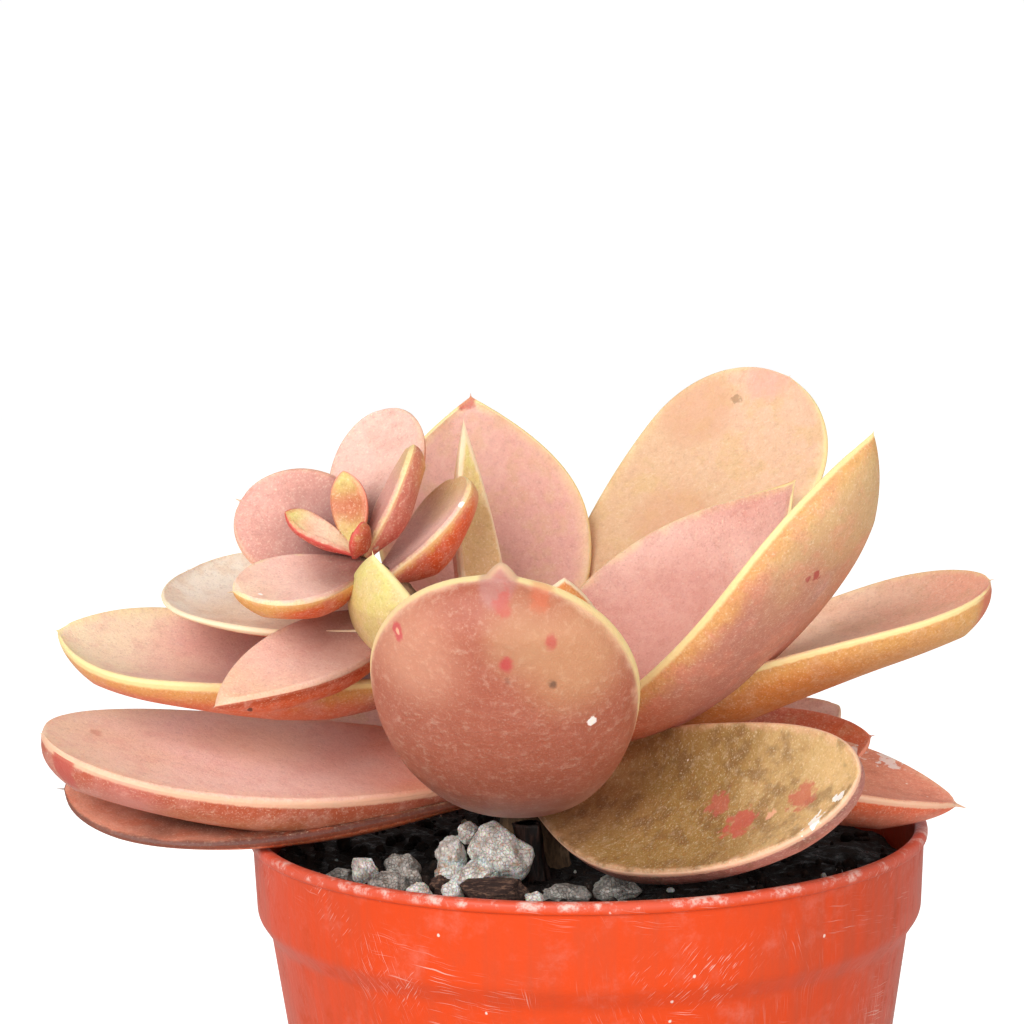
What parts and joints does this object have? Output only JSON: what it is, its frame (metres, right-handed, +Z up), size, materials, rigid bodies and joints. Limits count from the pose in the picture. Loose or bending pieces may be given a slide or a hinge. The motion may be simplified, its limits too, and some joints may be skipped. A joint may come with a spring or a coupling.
{
  "type": "potted succulent rosette",
  "caption": "Small potted echeveria with thick rosy leaves and cream margins, leaning over one side of a round terracotta-coloured plastic nursery pot.",
  "frame": {"origin": "middle of the pot's flat underside", "axes": "+Z up along the pot's axis, +X to the right and +Y away from the viewer in the picture"},
  "size_m": [0.0747, 0.0586, 0.0858],
  "materials": {
    "terracotta_plastic": "injection-moulded plastic with fine scratches and scuffs",
    "potting_mix": "dark crumbly peat and coir mix",
    "woody_stem": "short brown scarred stem",
    "old_leaf": "dusty rose to olive-tan succulent leaf with a fine sparkling grain and cream margins",
    "middle_leaf": "dusty pink succulent leaf with cream-yellow margins",
    "young_leaf": "mauve-taupe succulent leaf with orange underside",
    "bud_leaf": "salmon-red young leaf with yellow-green tip",
    "pale_pumice": "rough pale pumice",
    "grey_pumice": "rough grey pumice",
    "bark": "dark brown bark and dry leaf remains"
  },
  "bodies": {
    "root": {"pot": "terracotta_plastic", "soil": "potting_mix", "stem": "woody_stem", "leaf_front_right": "old_leaf", "leaf_right_low": "old_leaf", "leaf_left_lowest": "old_leaf", "leaf_right_tucked": "old_leaf", "leaf_right_far": "old_leaf", "leaf_left_low": "old_leaf", "leaf_right_long": "old_leaf", "leaf_front": "old_leaf", "leaf_behind_right": "old_leaf", "leaf_behind": "old_leaf", "leaf_behind_left": "old_leaf", "leaf_back_right_tall": "middle_leaf", "leaf_front_right_tall": "middle_leaf", "leaf_right_tall": "middle_leaf", "leaf_back_tall": "middle_leaf", "leaf_left_mid": "middle_leaf", "leaf_narrow": "middle_leaf", "leaf_front_small": "middle_leaf", "leaf_front_inner": "middle_leaf", "leaf_behind_high": "middle_leaf", "leaf_behind_inner": "middle_leaf", "leaf_left_high": "young_leaf", "crown_leaf_front_low": "young_leaf", "crown_leaf_front": "young_leaf", "crown_leaf_right": "young_leaf", "crown_leaf_left": "young_leaf", "crown_leaf_back": "young_leaf", "crown_leaf_inner": "young_leaf", "bud": "bud_leaf", "pumice_clump": "pale_pumice", "pumice_cream": "pale_pumice", "pumice_white": "pale_pumice", "pumice_white_small": "pale_pumice", "pumice_white_front": "pale_pumice", "pumice_grey": "grey_pumice", "pumice_grey_back": "grey_pumice", "pumice_grey_small": "grey_pumice", "stone_dark_left": "grey_pumice", "stone_right": "grey_pumice", "stone_right_back": "grey_pumice", "bark_chip": "bark", "bark_chip_small": "bark", "dry_leaf": "bark"}
  },
  "joints": []
}
